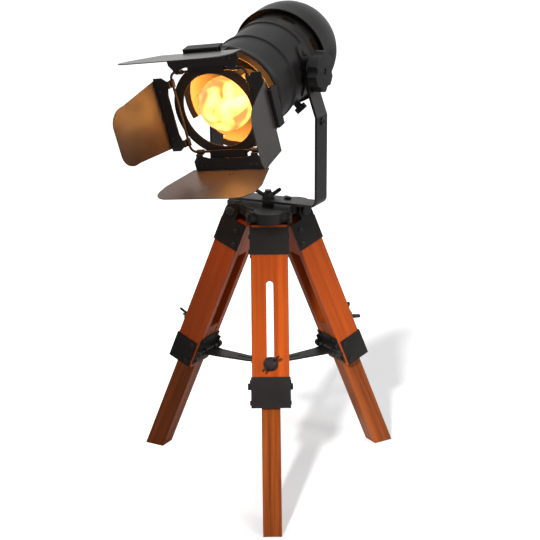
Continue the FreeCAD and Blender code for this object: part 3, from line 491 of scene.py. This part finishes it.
def settle(piece, body, slot, material, *nodes):
    """Smooths, paints and hands over a finished piece."""
    only(piece)
    bpy.ops.object.shade_smooth_by_angle(angle=math.radians(40))
    piece.data.materials.clear()
    piece.data.materials.append(material)
    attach(piece, body)
    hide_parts(*nodes)
    return piece


def top_face(piece):
    """Leaves edit mode ready with only the highest face selected."""
    only(piece)
    bpy.ops.object.mode_set(mode="EDIT")
    bpy.ops.mesh.select_mode(type="FACE")
    bpy.ops.mesh.select_all(action="DESELECT")
    bpy.ops.object.mode_set(mode="OBJECT")
    highest = max(piece.data.polygons, key=lambda face: face.center.z)
    highest.select = True
    bpy.ops.object.mode_set(mode="EDIT")


def screw_head():
    """A pan head with a cross recess, radius 1, seated at the origin, facing +Z."""
    head = drum(1.0, -0.3, 0.5, 32)
    top_face(head)
    for grow, lift in ((0.86, 0.16), (0.75, 0.09), (0.6, 0.04)):
        bpy.ops.mesh.extrude_region_move(TRANSFORM_OT_translate={"value": (0, 0, lift)})
        bpy.ops.transform.resize(value=(grow, grow, 1))
    bpy.ops.object.mode_set(mode="OBJECT")
    for size in ((0.26, 1.1, 0.5), (1.1, 0.26, 0.5)):
        carve(head, block(size, (0, 0, 0.78)))
    return head


def wing(root, lean, side, width, thick, reach):
    """A cast wing that grows from its root and leans outwards to one side."""
    piece = block((1.15 * thick, width, 1.0), (0, 0, 0))
    top_face(piece)
    for share, shift, swell, thin in WING_STAGES:
        step = (0, -side * shift, share * reach)
        bpy.ops.mesh.extrude_region_move(TRANSFORM_OT_translate={"value": step})
        bpy.ops.transform.resize(value=(thin, swell, 1))
    bpy.ops.object.mode_set(mode="OBJECT")
    applied(piece, "SUBSURF", levels=3)
    piece.data.transform(Matrix.Translation(root) @ Matrix.Rotation(-side * lean, 4, "X"))
    return piece


# ---------------------------------------------------------------- operators


class LAMP_OT_legs(bpy.types.Operator):
    """Finish the wooden legs"""

    bl_idname = "lamp.legs"
    bl_label = "Wooden legs"

    def execute(self, context):
        for leg in LEGS:
            dress("upper_leg_" + leg, wood_material(leg, "upper"))
            dress("lower_leg_" + leg, wood_material(leg, "lower"))
        return {"FINISHED"}


class LAMP_OT_fittings(bpy.types.Operator):
    """Finish the metal fittings of the stand and the yoke"""

    bl_idname = "lamp.fittings"
    bl_label = "Stand fittings"

    def execute(self, context):
        sheet = tuple(context.scene.lamp_coat.sheet)
        folded = coat_material("black_folded_sheet", sheet, 0.42)
        capped = coat_material("black_leg_sheet", sheet, 0.42, shine=0.1)
        cast = coat_material("black_cast_metal", sheet, 0.46, 0.0016, 0.00015)
        dark = darker(sheet)
        fixing = coat_material("blackened_steel", dark, 0.36, 0.0006)
        for leg in LEGS:
            for part in ("upper_cap_", "lower_cap_", "keeper_", "spreader_arm_"):
                dress(part + leg, capped)
            for part in ("leg_screws_", "keeper_pin_"):
                dress(part + leg, fixing)
            dress("wing_bolt_" + leg, cast)
        for part in ("yoke", "centre_link"):
            dress(part, folded)
        for part in ("hub", "pan_wing_nut"):
            dress(part, cast)
        for part in ("hub_stud", "hinge_bolts", "yoke_screws"):
            dress(part, fixing)
        self.leg_screws(fixing)
        self.wing_bolts(cast)
        self.wing_nut(cast)
        self.yoke_screws(fixing)
        return {"FINISHED"}

    def leg_screws(self, material):
        """Eight side screws and four keeper screws on each leg."""
        head = screw_head()
        seats = []
        for depth, height in ((24.5, 363.5), (28.5, 345.5), (25.5, 186.0), (25.5, 161.0)):
            for side in (-1, 1):
                turn = Matrix.Rotation(side * math.pi / 2, 4, "Y")
                seats.append(Matrix.Translation((side * 23.7, depth, height)) @ turn)
        for across in (-17.0, 17.0):
            for height in (164.5, 194.5):
                turn = Matrix.Rotation(-math.pi / 2, 4, "X")
                seats.append(Matrix.Translation((across, 35.3, height)) @ turn)
        small = Matrix.Diagonal((3.1, 3.1, 2.0, 1))
        for leg in LEGS:
            copies = []
            for i, seat in enumerate(seats):
                twist = Matrix.Rotation(0.9 * i + LEGS.index(leg), 4, "Z")
                place = leg_place(leg) @ Matrix.Scale(MM, 4) @ seat @ small @ twist
                copies.append(turned_copy(head, place))
            piece = joined(copies, "screws_" + leg)
            settle(piece, "leg_" + leg, "black_screws", material, "leg_screws_" + leg)
        bpy.data.objects.remove(head)

    def wing_bolts(self, material):
        """Domed bolts with two cast wings, one through each leg's slot."""
        ball = drum(7.9, 1.5, 3.4, 48)
        top_face(ball)
        for grow, lift in ((0.98, 1.6), (0.93, 1.8), (0.83, 1.5), (0.68, 1.0), (0.45, 0.5)):
            bpy.ops.mesh.extrude_region_move(TRANSFORM_OT_translate={"value": (0, 0, lift)})
            bpy.ops.transform.resize(value=(grow, grow, 1))
        bpy.ops.object.mode_set(mode="OBJECT")
        collar = applied(drum(8.7, 0.1, 1.7), "BEVEL", width=0.5, segments=3)
        stem = drum(3.0, -14.0, 1.0, 24)
        parts = [ball, collar, stem]
        for side in (-1, 1):
            parts.append(wing((0, side * 4.0, 4.4), math.radians(38), side, 5.6, 3.6, 14.6))
        bolt = joined(parts, "wing_bolt_pattern")
        for leg in LEGS:
            seat = Matrix.Translation((0, 0, WING_BOLT_HEIGHT)) @ Matrix.Rotation(math.radians(48), 4, "Y")
            face = Matrix.Rotation(math.pi / 2, 4, "X")
            piece = turned_copy(bolt, leg_place(leg) @ Matrix.Scale(MM, 4) @ seat @ face)
            piece.name = "winged_bolt_" + leg
            body = "wing_bolt_" + leg
            settle(piece, body, "black_cast", material, body)
        bpy.data.objects.remove(bolt)

    def wing_nut(self, material):
        """The nut that clamps the yoke on its stud."""
        body = applied(drum(6.7, 1.2, 7.3, 48, 5.4), "BEVEL", width=0.6, segments=3)
        collar = applied(drum(8.0, 0.0, 1.5), "BEVEL", width=0.4, segments=3)
        carve(body, drum(4.1, -2, 12, 32))
        carve(collar, drum(4.1, -2, 12, 32))
        parts = [body, collar]
        for side in (-1, 1):
            parts.append(wing((0, side * 5.2, 3.8), math.radians(62), side, 5.2, 3.4, 12.6))
        nut = joined(parts, "winged_nut")
        turn = Matrix.Rotation(HEAD_PAN + WING_NUT_TURN, 4, "Z")
        lift = Matrix.Translation((0, 0, WING_NUT_SEAT))
        nut.data.transform(turn @ Matrix.Scale(MM, 4) @ lift)
        settle(nut, "pan_wing_nut", "black_cast", material, "pan_wing_nut")

    def yoke_screws(self, material):
        """Three larger screws of the yoke."""
        head = screw_head()
        pan = Matrix.Rotation(HEAD_PAN, 4, "Z") @ Matrix.Scale(MM, 4)
        big = Matrix.Diagonal((5.0, 5.0, 3.2, 1))
        copies = []
        for side in (-1, 1):
            turn = Matrix.Rotation(side * math.pi / 2, 4, "Y")
            seat = Matrix.Translation((side * YOKE_SIDE, 0, YOKE_SCREW_HEIGHT)) @ turn
            copies.append(turned_copy(head, pan @ seat @ big))
        seat = Matrix.Translation((24, 6, YOKE_TOP)) @ Matrix.Diagonal((4.6, 4.6, 3.4, 1))
        copies.append(turned_copy(head, pan @ seat))
        settle(joined(copies, "yoke_screw_heads"), "yoke", "black_screws", material, "yoke_screws")
        bpy.data.objects.remove(head)


class LAMP_OT_housing(bpy.types.Operator):
    """Finish the drum, hood, rear housing and what is fixed to them"""

    bl_idname = "lamp.housing"
    bl_label = "Lamp housing"

    def execute(self, context):
        sheet = tuple(context.scene.lamp_coat.sheet)
        dark = darker(sheet)
        spun = coat_material("black_spun_sheet", sheet, 0.40, 0.0011, shine=0.16)
        lined = lined_material("black_sheet_bare_inside", 0.40, 0.0011)
        fixing = coat_material("blackened_screws", dark, 0.36, 0.0006)
        cast = coat_material("black_thumb_screw", sheet, 0.44, 0.0016, 0.00015)
        moulded = coat_material("black_moulding", dark, 0.5, 0.0008)
        for part in ("can_body", "front_hood"):
            dress(part, lined)
        for part in ("rear_housing", "back_cover", "pivot_plates", "gel_clips", "ring_plate",
                     "wire_frame"):
            dress(part, spun)
        for part in ("cover_standoffs", "plate_screws", "pivot_studs"):
            dress(part, fixing)
        for part in ("tilt_knob_right", "tilt_knob_left", "lampholder"):
            dress(part, moulded)
        dress("thumb_screw", cast)
        self.knobs(moulded)
        self.saddle_screws(fixing)
        return {"FINISHED"}

    def knobs(self, material):
        """Six-lobed clamp knobs with softened edges on both sides."""
        knob = drum(KNOB_RADIUS, KNOB_BASE, KNOB_FACE, 120)
        for i in range(KNOB_LOBES):
            flute = drum(KNOB_FLUTE, 55, 85, 40)
            angle = math.radians(60 * i + 30)
            at = (29.1 * math.cos(angle), 29.1 * math.sin(angle), 0)
            flute.data.transform(Matrix.Translation(at))
            carve(knob, flute)
        applied(knob, "BEVEL", width=2.2, segments=4, angle_limit=math.radians(35))
        carve(knob, drum(4.0, 74.4, 80, 32))
        knob = joined([knob, drum(11.0, 60.7, 63.6, 48)], "knob_pattern")
        for side, turn in (("right", 0.0), ("left", math.pi)):
            twist = Matrix.Rotation(math.radians(12), 4, "X")
            place = head_place() @ Matrix.Rotation(turn, 4, "Z") @ twist
            face = Matrix.Rotation(math.pi / 2, 4, "Z") @ Matrix.Rotation(math.pi / 2, 4, "X")
            piece = turned_copy(knob, place @ Matrix.Scale(MM, 4) @ face)
            piece.name = "lobed_knob_" + side
            settle(piece, "tilt_knob_" + side, "black_plastic", material, "tilt_knob_" + side)
        bpy.data.objects.remove(knob)

    def saddle_screws(self, material):
        """The four screws that hold the pivot plates to the can."""
        head = screw_head()
        small = Matrix.Diagonal((3.6, 3.6, 2.1, 1))
        copies = []
        for side in (-1, 1):
            for lean in (-SADDLE_LEAN, SADDLE_LEAN):
                turn = Matrix.Rotation(math.radians(lean), 4, "Y")
                outwards = Matrix.Rotation(side * math.pi / 2, 4, "Y")
                seat = turn @ Matrix.Translation((side * SADDLE_RADIUS, 0, 0)) @ outwards
                place = head_place() @ Matrix.Scale(MM, 4) @ seat @ small
                copies.append(turned_copy(head, place))
        settle(joined(copies, "saddle_screw_heads"), "head", "black_screws", material, "plate_screws")
        bpy.data.objects.remove(head)


class LAMP_OT_flaps(bpy.types.Operator):
    """Finish the four barn-door flaps"""

    bl_idname = "lamp.flaps"
    bl_label = "Barn-door flaps"

    def execute(self, context):
        settings = context.scene.lamp_coat
        blade = coat_material("charcoal_blade", tuple(settings.blade), 0.30, 0.0008, shine=0.36)
        leaf = coat_material("black_leaf", tuple(settings.sheet), 0.42)
        for side in FLAPS:
            dress("flap_blade_" + side, blade)
            dress("flap_leaf_" + side, leaf)
        return {"FINISHED"}


class LAMP_OT_bulb(bpy.types.Operator):
    """Make the lit bulb and the light inside it"""

    bl_idname = "lamp.bulb"
    bl_label = "Lit bulb"

    def execute(self, context):
        settings = context.scene.lamp_bulb
        glow = glow_material()
        dress("bulb_glass", glow).visible_shadow = False
        brass = coat_material("brass_screw_cap", (0.6, 0.42, 0.18, 1), 0.3)
        brass.node_tree.nodes["Principled BSDF"].inputs["Metallic"].default_value = 1.0
        dress("bulb_cap", brass)
        dress("filament", glow).visible_shadow = False
        self.point("bulb_light", settings, settings.power, 0.012, -HOT_SPOT_FORWARD)
        self.point("stray_light", settings, 0.25 * settings.power, 0.008, SOCKET_BACK)
        return {"FINISHED"}

    def point(self, name, settings, power, size, back):
        """A warm light on the beam's axis that turns with the head."""
        lamp = bpy.data.lights.new(name, "POINT")
        lamp.energy = power
        lamp.color = settings.glow
        lamp.shadow_soft_size = size
        source = bpy.data.objects.new(name, lamp)
        bpy.context.scene.collection.objects.link(source)
        source.location = head_place() @ Vector((0, back, 0))
        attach(source, "head")


class LAMP_OT_stage(bpy.types.Operator):
    """Make the floor, the studio light and the camera"""

    bl_idname = "lamp.stage"
    bl_label = "Stage"

    def execute(self, context):
        scene = context.scene
        settings = scene.lamp_stage
        self.floor(context)
        self.world(scene)
        self.softbox("key_light", (-1.3, -1.5, 1.5), 0.35, 2.0)
        self.softbox("fill_light", (1.9, -1.4, 1.2), 1.0, 20.0)
        self.softbox("top_light", (0.3, 0.3, 2.4), 1.4, 10.0)
        self.spot("side_spot", (-0.563, -2.01, 1.39))
        camera = bpy.data.cameras.new("camera")
        camera.sensor_width = 36.0
        camera.lens = settings.lens
        holder = bpy.data.objects.new("camera", camera)
        scene.collection.objects.link(holder)
        holder.location = settings.eye
        holder.rotation_euler = settings.aim
        scene.camera = holder
        scene.view_settings.view_transform = "Standard"
        return {"FINISHED"}

    def floor(self, context):
        bpy.ops.object.select_all(action="DESELECT")
        bpy.ops.mesh.primitive_plane_add(size=24, location=(0, 0, -0.0004))
        plane = context.object
        plane.name = "floor"
        made, tree, shader = fresh_material("pale_floor")
        shader.inputs["Base Color"].default_value = (0.8, 0.8, 0.8, 1)
        shader.inputs["Roughness"].default_value = 0.9
        shader.inputs["Specular IOR Level"].default_value = 0.0
        rays = node(tree, "ShaderNodeLightPath")
        at = node(tree, "ShaderNodeTexCoord")
        # Painted light: the floor's glow, seen only by camera rays, is 0.28 inside an oval under the side
        # spot and 0.95 outside it, so outside the spot's pool the glow paints in the spot's brightness and
        # only the shadow streaks show
        oval = node(tree, "ShaderNodeMapping", vector_type="TEXTURE")
        oval.inputs["Location"].default_value = SPOT_AIM
        oval.inputs["Rotation"].default_value = (0, 0, SPOT_TURN)
        oval.inputs["Scale"].default_value = (0.31, 0.60, 1)
        away = node(tree, "ShaderNodeVectorMath", operation="LENGTH")
        level = node(tree, "ShaderNodeMapRange", interpolation_type="SMOOTHSTEP")
        level.inputs["From Min"].default_value = 0.8
        level.inputs["From Max"].default_value = 1.05
        level.inputs["To Min"].default_value = 0.28
        level.inputs["To Max"].default_value = 0.95
        lift = node(tree, "ShaderNodeMath", operation="MULTIPLY")
        link = tree.links.new
        link(at.outputs["Object"], oval.inputs["Vector"])
        link(oval.outputs[0], away.inputs[0])
        link(away.outputs["Value"], level.inputs["Value"])
        link(level.outputs[0], lift.inputs[1])
        link(rays.outputs["Is Camera Ray"], lift.inputs[0])
        link(lift.outputs[0], shader.inputs["Emission Strength"])
        shader.inputs["Emission Color"].default_value = (1, 1, 1, 1)
        plane.data.materials.append(made)

    def world(self, scene):
        world = bpy.data.worlds.new("studio")
        world.use_nodes = True
        tree = world.node_tree
        background = tree.nodes["Background"]
        background.inputs["Color"].default_value = (1, 1, 1, 1)
        rays = node(tree, "ShaderNodeLightPath")
        seen = node(tree, "ShaderNodeMath", operation="MAXIMUM")
        seen_too = node(tree, "ShaderNodeMath", operation="MAXIMUM")
        level = node(tree, "ShaderNodeMapRange")
        level.inputs["To Min"].default_value = 0.3
        level.inputs["To Max"].default_value = 1.0
        link = tree.links.new
        link(rays.outputs["Is Camera Ray"], seen.inputs[0])
        link(rays.outputs["Is Glossy Ray"], seen.inputs[1])
        link(seen.outputs[0], seen_too.inputs[0])
        link(rays.outputs["Is Transmission Ray"], seen_too.inputs[1])
        link(seen_too.outputs[0], level.inputs["Value"])
        link(level.outputs[0], background.inputs["Strength"])
        scene.world = world

    def softbox(self, name, place, size, power):
        light = bpy.data.lights.new(name, "AREA")
        light.shape = "DISK"
        light.size = size
        light.energy = power
        self.aimed(name, light, place, (0, 0, 0.3))

    def spot(self, name, place):
        """A hard light past the left leg, which throws the streaks behind the other two."""
        light = bpy.data.lights.new(name, "SPOT")
        light.energy = 330.0
        light.spot_size = math.radians(13)
        light.spot_blend = 0.25
        light.shadow_soft_size = 0.1
        self.aimed(name, light, place, SPOT_AIM).visible_glossy = False

    def aimed(self, name, light, place, target):
        """Puts a light in place, turned towards its target."""
        holder = bpy.data.objects.new(name, light)
        bpy.context.scene.collection.objects.link(holder)
        holder.location = place
        aim = Vector(target) - Vector(place)
        holder.rotation_euler = aim.to_track_quat("-Z", "Y").to_euler()
        return holder


STEPS = (LAMP_OT_legs, LAMP_OT_fittings, LAMP_OT_housing, LAMP_OT_flaps, LAMP_OT_bulb,
         LAMP_OT_stage)
SETTINGS = {
    "lamp_wood": WoodSettings,
    "lamp_coat": CoatSettings,
    "lamp_bulb": BulbSettings,
    "lamp_stage": StageSettings,
}


class LAMP_PT_panel(bpy.types.Panel):
    """Buttons and sizes of the lamp"""

    bl_idname = "LAMP_PT_panel"
    bl_label = "Searchlight lamp"
    bl_space_type = "VIEW_3D"
    bl_region_type = "UI"
    bl_category = "Searchlight"

    def draw(self, context):
        for name in SETTINGS:
            group = getattr(context.scene, name)
            column = self.layout.column()
            for key in group.bl_rna.properties.keys():
                if key not in ("rna_type", "name"):
                    column.prop(group, key)
        for step in STEPS:
            self.layout.operator(step.bl_idname)


def register():
    for kind in (*SETTINGS.values(), *STEPS, LAMP_PT_panel):
        bpy.utils.register_class(kind)
    for name, kind in SETTINGS.items():
        setattr(bpy.types.Scene, name, bpy.props.PointerProperty(type=kind))


def unregister():
    for name in SETTINGS:
        delattr(bpy.types.Scene, name)
    for kind in reversed((*SETTINGS.values(), *STEPS, LAMP_PT_panel)):
        bpy.utils.unregister_class(kind)


def main():
    register()
    for step in STEPS:
        area, name = step.bl_idname.split(".")
        getattr(getattr(bpy.ops, area), name)()


if __name__ == "__main__":
    main()
